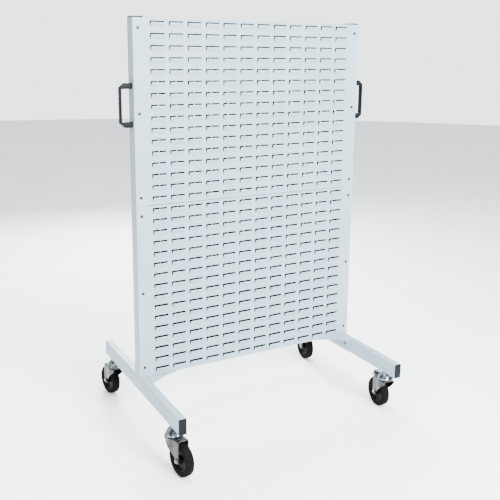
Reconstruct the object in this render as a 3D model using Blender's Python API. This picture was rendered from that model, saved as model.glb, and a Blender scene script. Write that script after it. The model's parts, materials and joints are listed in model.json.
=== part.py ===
"""Double-sided louvred panel trolley for hanging storage bins.

A powder-coated steel frame stands on two feet with four swivel castors. Two louvred
sheet panels cover each side. Units are metres: +X runs along the panels, -Y is the
front, +Z is up, and the origin is on the floor under the middle of the trolley.
"""
import math

import bmesh
import bpy

# Frame
OVERALL_WIDTH = 1.000
OVERALL_HEIGHT = 1.612
FOOT_LENGTH = 0.800
FOOT_WIDTH = 0.030
FOOT_HEIGHT = 0.060
POST_WIDTH = 0.040
POST_DEPTH = 0.050
TUBE_WALL = 0.002
RAIL_HEIGHT = 0.030
RAIL_DEPTH = 0.040
RAIL_INSET = 0.003           # from the panels' top and bottom edges
TOUCH = 0.0003               # gap between pieces that rest on each other

# Louvred panels
SHEET = 0.0012
PANEL_LIFT = 0.0005          # panel edge above the top of the feet
PANEL_JOINT = 0.002          # gap between the lower and the upper panel
COLUMN_PITCH = 0.0743
ROW_PITCH = 0.0429
LOUVRE_WIDTH = 0.058
LOUVRE_HEIGHT = 0.022
TOP_LAND = 0.0101            # sheet above the first row
LEAST_BOTTOM_LAND = 0.008
LEAST_SIDE_LAND = 0.050
FIELD_SHIFT = 0.0027         # louvre field off the panel's middle

# Plastic caps and plugs
CAP_THICKNESS = 0.0047
CAP_OVERHANG = 0.0005
CAP_CHAMFER = 0.0015
PLUG_THICKNESS = 0.003
PLUG_CHAMFER = 0.001
SPIGOT_LENGTH = 0.015

# Gusset plates and their bolts
GUSSET_SHEET = 0.003
GUSSET_ALONG_PANEL = 0.130
GUSSET_BEYOND_PANEL = 0.060
GUSSET_NECK_INSET = 0.002
GUSSET_CURVE_STEPS = 6
BOLT_RADIUS = 0.004
BOLT_HEAD_RADIUS = 0.0065
BOLT_HEAD_HEIGHT = 0.006
BOLT_LENGTH = 0.014
BOLT_BEYOND_PANEL = 0.035
BORE_CLEARANCE = 0.0003

# Bow handles
HANDLE_HEIGHT = 0.163
HANDLE_REACH = 0.047
HANDLE_DEPTH = 0.022
HANDLE_GRIP = 0.0065
HANDLE_LEG = 0.022
HANDLE_CORNER_REACH = 0.018
HANDLE_CORNER_HEIGHT = 0.016
HANDLE_DROP = 0.231          # its top below the posts' tops

# Castors
CASTOR_INSET = 0.073         # swivel axis from the end of the foot
TRAIL = 0.047                # axle behind the swivel axis
WHEEL_DIAMETER = 0.125
TYRE_WIDTH = 0.032
TYRE_DEPTH = 0.0205
HUB_WIDTH = 0.036
HUB_BOSS_RADIUS = 0.013
HUB_WEB_WIDTH = 0.014
AXLE_RADIUS = 0.004
AXLE_HEAD_RADIUS = 0.0075
AXLE_HEAD_HEIGHT = 0.005
FORK_SHEET = 0.003
FORK_SIDE_GAP = 0.003        # between tyre and fork leg
CROWN_GAP = 0.0105           # between tyre and fork crown
CROWN_THICKNESS = 0.0035
CROWN_FRONT = 0.030
CROWN_BACK = 0.056
BRAKE_CROWN_BACK = 0.036     # cut back to clear the pedal
CROWN_DEPTH = 0.0145
SHOULDER = 0.0600            # leg's back edge behind the swivel axis
FORK_END_RADIUS = 0.012
RACE_HEIGHT = 0.0024
RACE_INNER_RADIUS = 0.017
RACE_OUTER_RADIUS = 0.027
HEAD_HEIGHT = 0.0297
HEAD_RADIUS = 0.0335
HEAD_TOP_RADIUS = 0.015
KINGPIN_RADIUS = 0.006
KINGPIN_HEAD_RADIUS = 0.0095
KINGPIN_HEAD_HEIGHT = 0.006
KINGPIN_TAIL_HEIGHT = 0.0042

# Brake pedals
PEDAL_PIN_RADIUS = 0.0025
PEDAL_PIN_AHEAD = 0.015      # of the axle
PEDAL_PIN_ABOVE = 0.0048     # the tyre's top
PEDAL_PIN_PROUD = 0.001
PEDAL_SIDE_GAP = 0.0008

# Directions in which the castors trail, in degrees from +X
CASTORS = {
    "front_left": {"x": -1, "y": -1, "heading": -81.0, "brake": False},
    "rear_left": {"x": -1, "y": 1, "heading": 99.0, "brake": False},
    "front_right": {"x": 1, "y": -1, "heading": 84.0, "brake": True},
    "rear_right": {"x": 1, "y": 1, "heading": -96.0, "brake": True},
}

WHEEL_SIDES = 24
ROUND_SIDES = 12

# Levels and planes that follow from the sizes above
WHEEL_RADIUS = WHEEL_DIAMETER / 2
CROWN_BOTTOM = WHEEL_DIAMETER + CROWN_GAP
CROWN_TOP = CROWN_BOTTOM + CROWN_THICKNESS
RACE_BOTTOM = CROWN_TOP + TOUCH
HEAD_BOTTOM = RACE_BOTTOM + RACE_HEIGHT + TOUCH
FOOT_BOTTOM = HEAD_BOTTOM + HEAD_HEIGHT + TOUCH
FOOT_TOP = FOOT_BOTTOM + FOOT_HEIGHT
POST_BOTTOM = FOOT_TOP + TOUCH
POST_TOP = OVERALL_HEIGHT - CAP_THICKNESS - TOUCH
PANEL_BOTTOM = FOOT_TOP + PANEL_LIFT
PANEL_HEIGHT = (POST_TOP - PANEL_BOTTOM - PANEL_JOINT) / 2
PANEL_FACE = POST_DEPTH / 2 + TOUCH + SHEET
POST_OUTER = OVERALL_WIDTH / 2
POST_INNER = POST_OUTER - POST_WIDTH
FOOT_MIDDLE = POST_OUTER - FOOT_WIDTH / 2
FOOT_INNER = POST_OUTER - FOOT_WIDTH
FORK_INNER = TYRE_WIDTH / 2 + FORK_SIDE_GAP
FORK_OUTER = FORK_INNER + FORK_SHEET
CASTOR_Y = FOOT_LENGTH / 2 - CASTOR_INSET
BOLT_Y = PANEL_FACE + BOLT_BEYOND_PANEL
BOLT_Z = FOOT_BOTTOM + FOOT_HEIGHT / 2


def clear_scene():
    for item in list(bpy.data.objects):
        bpy.data.objects.remove(item, do_unlink=True)


def material(name, colour, roughness, metallic):
    made = bpy.data.materials.new(name)
    made.use_nodes = True
    shader = made.node_tree.nodes["Principled BSDF"]
    shader.inputs["Base Color"].default_value = (*colour, 1.0)
    shader.inputs["Roughness"].default_value = roughness
    shader.inputs["Metallic"].default_value = metallic
    made.diffuse_color = (*colour, 1.0)
    return made


def mesh_from(bm, name, smooth=False):
    """Turn a bmesh into a mesh with its faces pointing out."""
    bmesh.ops.recalc_face_normals(bm, faces=bm.faces[:])
    mesh = bpy.data.meshes.new(name)
    bm.to_mesh(mesh)
    bm.free()
    if smooth:
        mesh.shade_smooth()
        mesh.set_sharp_from_angle(angle=math.radians(35))
    return mesh


def place(name, mesh, finish=None, location=(0, 0, 0), rotation=(0, 0, 0), parent=None):
    made = bpy.data.objects.new(name, mesh)
    bpy.context.scene.collection.objects.link(made)
    made.location = location
    made.rotation_euler = rotation
    made.parent = parent
    if finish and not mesh.materials:
        mesh.materials.append(finish)
    return made


def extrude(bm, faces, vector):
    """Extrude a loose patch of faces, which stay as the closed body's other end."""
    grown = bmesh.ops.extrude_face_region(bm, geom=faces)["geom"]
    verts = [item for item in grown if isinstance(item, bmesh.types.BMVert)]
    bmesh.ops.translate(bm, verts=verts, vec=vector)
    return [item for item in grown if isinstance(item, bmesh.types.BMFace)]


def prism(name, outline, vector):
    """A flat outline of 3-D points, extruded along a vector."""
    bm = bmesh.new()
    face = bm.faces.new([bm.verts.new(point) for point in outline])
    extrude(bm, [face], vector)
    return mesh_from(bm, name)


def block(name, low, high):
    corners = [(low[0], low[1]), (high[0], low[1]), (high[0], high[1]), (low[0], high[1])]
    outline = [(x, y, low[2]) for x, y in corners]
    return prism(name, outline, (0, 0, high[2] - low[2]))


def tube(name, width, depth, vector, axes):
    """An open rectangular tube. axes names the two directions across it, as in "xy"."""
    bm = bmesh.new()
    rings = []
    for inset in (0, TUBE_WALL):
        half = {axes[0]: width / 2 - inset, axes[1]: depth / 2 - inset}
        ring = []
        for first, second in ((-1, -1), (1, -1), (1, 1), (-1, 1)):
            at = {"x": 0, "y": 0, "z": 0}
            at[axes[0]] = first * half[axes[0]]
            at[axes[1]] = second * half[axes[1]]
            ring.append(bm.verts.new((at["x"], at["y"], at["z"])))
        rings.append(ring)
    faces = []
    for index in range(4):
        after = (index + 1) % 4
        faces.append(bm.faces.new([rings[0][index], rings[0][after], rings[1][after], rings[1][index]]))
    extrude(bm, faces, vector)
    return mesh_from(bm, name)


def stepped(name, sections):
    """A plug made of rectangles stacked along +Z, each (height, half width, half depth)."""
    bm = bmesh.new()
    rings = []
    for height, wide, deep in sections:
        corners = ((-wide, -deep), (wide, -deep), (wide, deep), (-wide, deep))
        rings.append([bm.verts.new((x, y, height)) for x, y in corners])
    bm.faces.new(rings[0])
    bm.faces.new(rings[-1])
    for low, high in zip(rings, rings[1:]):
        for index in range(4):
            after = (index + 1) % 4
            bm.faces.new([low[index], low[after], high[after], high[index]])
    return mesh_from(bm, name)


def turned(name, profile, sides, ring=False):
    """Spin a profile of (radius, height) points about Z. A ring's profile is a closed loop."""
    bm = bmesh.new()
    verts = [bm.verts.new((radius, 0, height)) for radius, height in profile]
    edges = [bm.edges.new(pair) for pair in zip(verts, verts[1:])]
    if ring:
        edges.append(bm.edges.new((verts[-1], verts[0])))
    bmesh.ops.spin(
        bm, geom=edges, cent=(0, 0, 0), axis=(0, 0, 1), dvec=(0, 0, 0),
        angle=math.tau, steps=sides, use_merge=False, use_duplicate=False,
    )
    bmesh.ops.remove_doubles(bm, verts=bm.verts[:], dist=0.00001)
    return mesh_from(bm, name, smooth=True)


def bore(radius, sides=ROUND_SIDES):
    """Corner radius of a many-sided hole that clears a pin of this radius all round."""
    return (radius + BORE_CLEARANCE) / math.cos(math.pi / sides)


def combine(target, operation, operand):
    """Cut or join with a helper shape that is not part of the trolley."""
    operand.hide_render = True
    operand.display_type = "WIRE"
    change = target.modifiers.new(operand.name, "BOOLEAN")
    change.operation = operation
    change.object = operand
    return change


def drill(target, label, places, rotation, radius, depth, parent=None):
    """Drill round holes of one size at several places, centred on each place."""
    for count, place_at in enumerate(places):
        profile = [(0, -depth / 2), (radius, -depth / 2), (radius, depth / 2), (0, depth / 2)]
        name = f"cutter_{label}_{count}"
        cutter = place(name, turned(name, profile, ROUND_SIDES), None, place_at, rotation, parent)
        combine(target, "DIFFERENCE", cutter)


ALONG_X = (0, math.radians(90), 0)
ALONG_Y = (math.radians(-90), 0, 0)
ALONG_Z = (0, 0, 0)


def make_foot(side, word, finish):
    mesh = tube(f"{word}_foot", FOOT_WIDTH, FOOT_HEIGHT, (0, FOOT_LENGTH, 0), "xz")
    middle = (side * FOOT_MIDDLE, -FOOT_LENGTH / 2, FOOT_BOTTOM + FOOT_HEIGHT / 2)
    foot = place(f"{word}_foot", mesh, finish, middle)
    stems = [(side * FOOT_MIDDLE, end * CASTOR_Y, FOOT_BOTTOM) for end in (-1, 1)]
    drill(foot, f"{word}_kingpins", stems, ALONG_Z, bore(KINGPIN_RADIUS), FOOT_HEIGHT / 2)
    bolts = [(side * FOOT_INNER, end * BOLT_Y, BOLT_Z) for end in (-1, 1)]
    drill(foot, f"{word}_foot_bolts", bolts, ALONG_X, bore(BOLT_RADIUS), FOOT_WIDTH / 2)


def make_foot_plugs(side, word, finish):
    wide = FOOT_WIDTH / 2
    deep = FOOT_HEIGHT / 2
    inside = TUBE_WALL + TOUCH
    sections = [
        (-SPIGOT_LENGTH, wide - inside, deep - inside),
        (TOUCH, wide - inside, deep - inside),
        (TOUCH, wide, deep),
        (PLUG_THICKNESS - PLUG_CHAMFER, wide, deep),
        (PLUG_THICKNESS, wide - PLUG_CHAMFER, deep - PLUG_CHAMFER),
    ]
    for end, end_word in ((-1, "front"), (1, "rear")):
        name = f"{word}_foot_{end_word}_plug"
        middle = (side * FOOT_MIDDLE, end * FOOT_LENGTH / 2, FOOT_BOTTOM + FOOT_HEIGHT / 2)
        place(name, stepped(name, sections), finish, middle, (-end * math.radians(90), 0, 0))


def make_post(side, word, finish):
    mesh = tube(f"{word}_post", POST_WIDTH, POST_DEPTH, (0, 0, POST_TOP - POST_BOTTOM), "xy")
    place(f"{word}_post", mesh, finish, (side * (POST_OUTER - POST_WIDTH / 2), 0, POST_BOTTOM))


def make_post_cap(side, word, finish):
    wide = POST_WIDTH / 2
    deep = POST_DEPTH / 2
    inside = TUBE_WALL + TOUCH
    over = CAP_OVERHANG
    sections = [
        (-SPIGOT_LENGTH, wide - inside, deep - inside),
        (TOUCH, wide - inside, deep - inside),
        (TOUCH, wide + over, deep + over),
        (TOUCH + CAP_THICKNESS - CAP_CHAMFER, wide + over, deep + over),
        (TOUCH + CAP_THICKNESS, wide + over - CAP_CHAMFER, deep + over - CAP_CHAMFER),
    ]
    name = f"{word}_post_cap"
    place(name, stepped(name, sections), finish, (side * (POST_OUTER - POST_WIDTH / 2), 0, POST_TOP))


def make_rails(finish):
    length = 2 * (POST_INNER - TOUCH)
    levels = {
        "bottom_rail": PANEL_BOTTOM + RAIL_INSET + RAIL_HEIGHT / 2,
        "top_rail": POST_TOP - RAIL_INSET - RAIL_HEIGHT / 2,
    }
    for name, level in levels.items():
        mesh = tube(name, RAIL_DEPTH, RAIL_HEIGHT, (length, 0, 0), "yz")
        place(name, mesh, finish, (-length / 2, 0, level))


def gusset_outline():
    """Half of the plate's edge: a shallow hollow curve from the tip on the foot to its neck."""
    tip = (GUSSET_SHEET, PANEL_FACE + GUSSET_BEYOND_PANEL)
    neck = (GUSSET_ALONG_PANEL, PANEL_FACE - GUSSET_NECK_INSET)
    pull = (tip[0] + 0.40 * (neck[0] - tip[0]), neck[1] + 0.40 * (tip[1] - neck[1]))
    points = []
    for step in range(GUSSET_CURVE_STEPS + 1):
        s = step / GUSSET_CURVE_STEPS
        weights = ((1 - s) ** 2, 2 * s * (1 - s), s ** 2)
        points.append(tuple(
            sum(weight * point[axis] for weight, point in zip(weights, (tip, pull, neck)))
            for axis in (0, 1)
        ))
    return points


def make_gusset(side, word, finish):
    """A folded plate: flat under the post and rail, with a flange down the foot's inner face."""
    edge = gusset_outline()
    reach = edge[0][1]
    start = FOOT_INNER - TOUCH
    bm = bmesh.new()

    def corner(x, y):
        return bm.verts.new((side * (start - x), y, FOOT_TOP))

    outer = [corner(0, reach), corner(0, -reach)]
    rear = [corner(x, y) for x, y in edge]
    front = [corner(x, -y) for x, y in edge]
    strip = bm.faces.new([outer[0], outer[1], front[0], rear[0]])
    plate = bm.faces.new(front + rear[::-1])
    lowered = extrude(bm, [strip, plate], (0, 0, -GUSSET_SHEET))
    fold = min(lowered, key=lambda face: face.calc_area())
    extrude(bm, [fold], (0, 0, -(FOOT_HEIGHT - GUSSET_SHEET)))
    bmesh.ops.delete(bm, geom=[fold], context="FACES_ONLY")
    gusset = place(f"{word}_gusset", mesh_from(bm, f"{word}_gusset"), finish)
    bolts = [(side * start, end * BOLT_Y, BOLT_Z) for end in (-1, 1)]
    drill(gusset, f"{word}_gusset_bolts", bolts, ALONG_X, bore(BOLT_RADIUS), 4 * GUSSET_SHEET)


def make_gusset_bolts(side, word, finish):
    under_head = FOOT_INNER - 2 * TOUCH - GUSSET_SHEET
    profile = [
        (0, -BOLT_HEAD_HEIGHT),
        (BOLT_HEAD_RADIUS, -BOLT_HEAD_HEIGHT),
        (BOLT_HEAD_RADIUS, 0),
        (BOLT_RADIUS, 0),
        (BOLT_RADIUS, BOLT_LENGTH),
        (0, BOLT_LENGTH),
    ]
    for end, end_word in ((-1, "front"), (1, "rear")):
        name = f"{word}_gusset_{end_word}_bolt"
        at = (side * under_head, end * BOLT_Y, BOLT_Z)
        place(name, turned(name, profile, ROUND_SIDES), finish, at, (0, side * math.radians(90), 0))


def cuts(count, start, pitch, size, total):
    """Cut lines along one side of a panel: its ends and both edges of each louvre."""
    lines = [0]
    for index in range(count):
        lines.append(start + index * pitch)
        lines.append(start + index * pitch + size)
    return lines + [total]


def panel_mesh():
    """A sheet with a window for each louvre. Its outer face is at y = 0."""
    land = COLUMN_PITCH - LOUVRE_WIDTH
    columns = int((OVERALL_WIDTH - 2 * LEAST_SIDE_LAND + land) / COLUMN_PITCH)
    field = (columns - 1) * COLUMN_PITCH + LOUVRE_WIDTH
    across = cuts(columns, (OVERALL_WIDTH - field) / 2 + FIELD_SHIFT, COLUMN_PITCH, LOUVRE_WIDTH, OVERALL_WIDTH)
    room = PANEL_HEIGHT - TOP_LAND - LOUVRE_HEIGHT - LEAST_BOTTOM_LAND
    rows = 1 + int(room / ROW_PITCH)
    down = cuts(rows, TOP_LAND, ROW_PITCH, LOUVRE_HEIGHT, PANEL_HEIGHT)
    bm = bmesh.new()
    grid = [[bm.verts.new((x, 0, PANEL_HEIGHT - z)) for x in across] for z in down]
    faces = []
    for row in range(len(down) - 1):
        for column in range(len(across) - 1):
            if row % 2 and column % 2:
                continue
            upper = grid[row]
            lower = grid[row + 1]
            faces.append(bm.faces.new([upper[column], upper[column + 1], lower[column + 1], lower[column]]))
    extrude(bm, faces, (0, SHEET, 0))
    return mesh_from(bm, "louvred_panel")


def make_panels(finish):
    mesh = panel_mesh()
    for level, level_word in ((0, "lower"), (1, "upper")):
        height = PANEL_BOTTOM + level * (PANEL_HEIGHT + PANEL_JOINT)
        place(f"front_{level_word}_panel", mesh, finish, (-POST_OUTER, -PANEL_FACE, height))
        place(f"rear_{level_word}_panel", mesh, finish, (POST_OUTER, PANEL_FACE, height), (0, 0, math.pi))


def make_handle(side, word, finish):
    tall = HANDLE_HEIGHT / 2
    inner = tall - HANDLE_LEG
    palm = HANDLE_REACH - HANDLE_GRIP
    shoulder = HANDLE_REACH - HANDLE_CORNER_REACH
    rise = tall - HANDLE_CORNER_HEIGHT
    outline = [
        (TOUCH, -tall), (shoulder, -tall), (HANDLE_REACH, -rise), (HANDLE_REACH, rise),
        (shoulder, tall), (TOUCH, tall), (TOUCH, inner), (palm, inner), (palm, -inner), (TOUCH, -inner),
    ]
    points = [(side * x, -HANDLE_DEPTH / 2, z) for x, z in outline]
    mesh = prism(f"{word}_handle", points, (0, HANDLE_DEPTH, 0))
    place(f"{word}_handle", mesh, finish, (side * POST_OUTER, 0, POST_TOP - HANDLE_DROP - tall))


def fork_outline(crown_back):
    """Side view of a fork: crown, sloping leg and rounded end round the axle."""
    points = [
        (crown_back, CROWN_TOP),
        (-CROWN_FRONT, CROWN_TOP),
        (-CROWN_FRONT, CROWN_TOP - CROWN_DEPTH),
    ]
    for degrees in (215, 246, 277, 309, 340, 372):
        angle = math.radians(degrees)
        x = TRAIL + FORK_END_RADIUS * math.cos(angle)
        points.append((x, WHEEL_RADIUS + FORK_END_RADIUS * math.sin(angle)))
    points.append((SHOULDER, CROWN_TOP - 0.6 * CROWN_DEPTH))
    return points


def pedal_pivot():
    return (TRAIL - PEDAL_PIN_AHEAD, WHEEL_DIAMETER + PEDAL_PIN_ABOVE)


def pedal_outline():
    """Side view of the pedal about its pivot: barrel, plate, toe tab and release tab."""
    pivot_x, pivot_z = pedal_pivot()
    tyre_top = WHEEL_DIAMETER
    shape = [
        (-0.0185, 0.0033), (-0.0150, 0.0011), (-0.0110, 0.0033), (0.0200, 0.0090),
        (0.0390, -0.0018), (0.0406, 0.0009), (0.0212, 0.0120), (0.0200, 0.0270),
        (0.0170, 0.0270), (0.0172, 0.0120), (-0.0110, 0.0092), (-0.0150, 0.0088),
        (-0.0185, 0.0063),
    ]
    return [(TRAIL + x - pivot_x, tyre_top + z - pivot_z) for x, z in shape]


def make_fork(name, finish, parent, brake):
    crown_back = BRAKE_CROWN_BACK if brake else CROWN_BACK
    outline = [(x, -FORK_OUTER, z) for x, z in fork_outline(crown_back)]
    fork = place(name, prism(name, outline, (0, 2 * FORK_OUTER, 0)), finish, parent=parent)
    reach = TRAIL + WHEEL_RADIUS
    gap = block(f"cutter_{name}_gap", (-reach, -FORK_INNER, -reach), (reach, FORK_INNER, CROWN_BOTTOM))
    combine(fork, "DIFFERENCE", place(f"cutter_{name}_gap", gap, parent=parent))
    stem = [(0, 0, CROWN_BOTTOM)]
    drill(fork, f"{name}_kingpin", stem, ALONG_Z, bore(KINGPIN_RADIUS), 4 * CROWN_THICKNESS, parent)
    axle = [(TRAIL, 0, WHEEL_RADIUS)]
    drill(fork, f"{name}_axle", axle, ALONG_Y, bore(AXLE_RADIUS), 4 * FORK_OUTER, parent)
    if brake:
        pivot_x, pivot_z = pedal_pivot()
        pivot = [(pivot_x, 0, pivot_z)]
        drill(fork, f"{name}_pedal", pivot, ALONG_Y, bore(PEDAL_PIN_RADIUS), 4 * FORK_OUTER, parent)


def make_pedal(name, finish, parent):
    half = FORK_INNER - PEDAL_SIDE_GAP
    pivot_x, pivot_z = pedal_pivot()
    outline = [(x, -half, z) for x, z in pedal_outline()]
    at = (pivot_x, 0, pivot_z)
    pedal = place(name, prism(name, outline, (0, 2 * half, 0)), finish, at, parent=parent)
    end = FORK_OUTER + PEDAL_PIN_PROUD
    profile = [(0, -end), (PEDAL_PIN_RADIUS, -end), (PEDAL_PIN_RADIUS, end), (0, end)]
    pin = place(f"joined_{name}_pin", turned(f"{name}_pin", profile, ROUND_SIDES), None, at, ALONG_Y, parent)
    combine(pedal, "UNION", pin)


def tyre_mesh():
    outer = WHEEL_RADIUS
    inner = WHEEL_RADIUS - TYRE_DEPTH
    half = TYRE_WIDTH / 2
    profile = [
        (inner, -0.85 * half), (outer - 0.0065, -half), (outer - 0.0015, -0.80 * half),
        (outer, -0.35 * half), (outer, 0.35 * half), (outer - 0.0015, 0.80 * half),
        (outer - 0.0065, half), (inner, 0.85 * half),
    ]
    return turned("tyre", profile, WHEEL_SIDES, ring=True)


def hub_mesh():
    rim = WHEEL_RADIUS - TYRE_DEPTH - TOUCH
    half = HUB_WIDTH / 2
    web = HUB_WEB_WIDTH / 2
    hole = bore(AXLE_RADIUS, WHEEL_SIDES)
    profile = [
        (hole, -half), (HUB_BOSS_RADIUS, -half), (HUB_BOSS_RADIUS, -web), (rim, -0.8 * TYRE_WIDTH / 2),
        (rim, 0.8 * TYRE_WIDTH / 2), (HUB_BOSS_RADIUS, web), (HUB_BOSS_RADIUS, half), (hole, half),
    ]
    return turned("wheel_hub", profile, WHEEL_SIDES, ring=True)


def axle_mesh():
    head = FORK_OUTER + TOUCH
    tail = -(FORK_OUTER + AXLE_HEAD_HEIGHT + 4 * TOUCH)
    profile = [
        (0, head + AXLE_HEAD_HEIGHT), (AXLE_HEAD_RADIUS, head + AXLE_HEAD_HEIGHT),
        (AXLE_HEAD_RADIUS, head), (AXLE_RADIUS, head), (AXLE_RADIUS, tail), (0, tail),
    ]
    return turned("axle", profile, ROUND_SIDES)


def nut_mesh():
    near = -(FORK_OUTER + TOUCH)
    far = near - AXLE_HEAD_HEIGHT
    hole = bore(AXLE_RADIUS)
    profile = [(hole, near), (AXLE_HEAD_RADIUS, near), (AXLE_HEAD_RADIUS, far), (hole, far)]
    return turned("axle_nut", profile, ROUND_SIDES, ring=True)


def head_mesh():
    """The domed upper cup under the foot, with a hole for the kingpin."""
    hole = bore(KINGPIN_RADIUS)
    top = HEAD_BOTTOM + HEAD_HEIGHT
    profile = [
        (hole, HEAD_BOTTOM), (HEAD_RADIUS, HEAD_BOTTOM), (HEAD_RADIUS, HEAD_BOTTOM + 0.22 * HEAD_HEIGHT),
        (0.85 * HEAD_RADIUS, HEAD_BOTTOM + 0.66 * HEAD_HEIGHT), (HEAD_TOP_RADIUS, top), (hole, top),
    ]
    return turned("castor_head", profile, ROUND_SIDES, ring=True)


def race_mesh():
    top = RACE_BOTTOM + RACE_HEIGHT
    profile = [
        (RACE_INNER_RADIUS, RACE_BOTTOM), (RACE_OUTER_RADIUS, RACE_BOTTOM),
        (RACE_OUTER_RADIUS, top), (RACE_INNER_RADIUS, top),
    ]
    return turned("ball_race", profile, ROUND_SIDES, ring=True)


def kingpin_mesh():
    seat = FOOT_BOTTOM + TUBE_WALL + TOUCH
    shoulder = CROWN_BOTTOM - TOUCH
    profile = [
        (0, seat + KINGPIN_HEAD_HEIGHT), (KINGPIN_HEAD_RADIUS, seat + KINGPIN_HEAD_HEIGHT),
        (KINGPIN_HEAD_RADIUS, seat), (KINGPIN_RADIUS, seat), (KINGPIN_RADIUS, shoulder),
        (KINGPIN_HEAD_RADIUS, shoulder), (KINGPIN_HEAD_RADIUS, shoulder - KINGPIN_TAIL_HEIGHT),
        (0, shoulder - KINGPIN_TAIL_HEIGHT),
    ]
    return turned("kingpin", profile, ROUND_SIDES)


def make_castors(zinc, rubber, plastic):
    fixed = {"castor_head": head_mesh(), "kingpin": kingpin_mesh(), "ball_race": race_mesh()}
    turning = {
        "tyre": (tyre_mesh(), rubber), "hub": (hub_mesh(), plastic),
        "axle": (axle_mesh(), zinc), "axle_nut": (nut_mesh(), zinc),
    }
    for corner, spec in CASTORS.items():
        stem = bpy.data.objects.new(f"{corner}_castor", None)
        bpy.context.scene.collection.objects.link(stem)
        stem.location = (spec["x"] * FOOT_MIDDLE, spec["y"] * CASTOR_Y, 0)
        stem.rotation_euler = (0, 0, math.radians(spec["heading"]))
        for piece, mesh in fixed.items():
            place(f"{corner}_{piece}", mesh, zinc, parent=stem)
        make_fork(f"{corner}_fork", zinc, stem, spec["brake"])
        for piece, (mesh, finish) in turning.items():
            place(f"{corner}_{piece}", mesh, finish, (TRAIL, 0, WHEEL_RADIUS), ALONG_Y, stem)
        if spec["brake"]:
            make_pedal(f"{corner}_brake_pedal", zinc, stem)


clear_scene()
coat = material("light_grey_powder_coat", (0.70, 0.76, 0.79), 0.45, 0.0)
black_plastic = material("black_plastic", (0.015, 0.016, 0.018), 0.40, 0.0)
bright_zinc = material("bright_zinc", (0.62, 0.66, 0.70), 0.28, 1.0)
black_rubber = material("black_rubber", (0.018, 0.018, 0.019), 0.70, 0.0)

for frame_side, frame_word in ((-1, "left"), (1, "right")):
    make_foot(frame_side, frame_word, coat)
    make_foot_plugs(frame_side, frame_word, black_plastic)
    make_post(frame_side, frame_word, coat)
    make_post_cap(frame_side, frame_word, black_plastic)
    make_gusset(frame_side, frame_word, coat)
    make_gusset_bolts(frame_side, frame_word, bright_zinc)
    make_handle(frame_side, frame_word, black_plastic)
make_rails(coat)
make_panels(coat)
make_castors(bright_zinc, black_rubber, black_plastic)
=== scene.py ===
"""A double-sided louvred panel trolley for hanging storage bins, standing on a pale floor.

Units are metres: +X runs along the panels, -Y is the front and +Z is up.
"""
import json
import math

import bmesh
import bpy
from mathutils import Matrix, Vector

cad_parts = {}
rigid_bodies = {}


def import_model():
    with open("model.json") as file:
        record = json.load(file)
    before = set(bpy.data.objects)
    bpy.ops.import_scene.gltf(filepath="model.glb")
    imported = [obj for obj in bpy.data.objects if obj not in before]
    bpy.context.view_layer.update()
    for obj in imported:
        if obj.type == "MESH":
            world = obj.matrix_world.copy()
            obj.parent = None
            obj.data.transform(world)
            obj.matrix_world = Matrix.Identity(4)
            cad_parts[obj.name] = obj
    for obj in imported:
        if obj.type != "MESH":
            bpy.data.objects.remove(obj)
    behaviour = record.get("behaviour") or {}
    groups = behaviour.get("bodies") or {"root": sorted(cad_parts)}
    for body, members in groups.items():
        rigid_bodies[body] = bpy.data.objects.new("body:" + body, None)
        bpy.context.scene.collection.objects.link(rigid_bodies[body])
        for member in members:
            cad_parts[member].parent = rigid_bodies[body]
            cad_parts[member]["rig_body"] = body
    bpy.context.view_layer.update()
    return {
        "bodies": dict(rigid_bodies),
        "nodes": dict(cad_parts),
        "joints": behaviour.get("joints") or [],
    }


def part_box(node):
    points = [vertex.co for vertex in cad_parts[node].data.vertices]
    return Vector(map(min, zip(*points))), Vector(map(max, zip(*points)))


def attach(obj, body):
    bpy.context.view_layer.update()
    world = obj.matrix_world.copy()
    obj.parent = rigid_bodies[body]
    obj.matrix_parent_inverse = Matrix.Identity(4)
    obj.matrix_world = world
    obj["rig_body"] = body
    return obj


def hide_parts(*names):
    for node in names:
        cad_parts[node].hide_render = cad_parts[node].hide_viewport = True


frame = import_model()


# The trolley stands alone on a seamless pale floor. It is seen from its front left,
# from just below the height of its top edge.
CAMERA_PLACE = (-1.4168, -2.5281, 1.4825)
CAMERA_AZIMUTH = math.radians(-29.276)
CAMERA_PITCH = math.radians(11.635)
CAMERA_ROLL = math.radians(0.585)

back = Vector((
    math.sin(CAMERA_AZIMUTH) * math.cos(CAMERA_PITCH),
    -math.cos(CAMERA_AZIMUTH) * math.cos(CAMERA_PITCH),
    math.sin(CAMERA_PITCH),
))
level = Vector((math.cos(CAMERA_AZIMUTH), math.sin(CAMERA_AZIMUTH), 0.0))
upward = back.cross(level)
across = level * math.cos(CAMERA_ROLL) + upward * math.sin(CAMERA_ROLL)
upright = upward * math.cos(CAMERA_ROLL) - level * math.sin(CAMERA_ROLL)
camera = bpy.data.objects.new("camera", bpy.data.cameras.new("camera"))
bpy.context.scene.collection.objects.link(camera)
camera.matrix_world = Matrix((
    (across.x, upright.x, back.x, CAMERA_PLACE[0]),
    (across.y, upright.y, back.y, CAMERA_PLACE[1]),
    (across.z, upright.z, back.z, CAMERA_PLACE[2]),
    (0.0, 0.0, 0.0, 1.0),
))
camera.data.lens = 51.92
camera.data.sensor_width = 36.0
camera.data.shift_y = -0.095
bpy.context.scene.camera = camera

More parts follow.
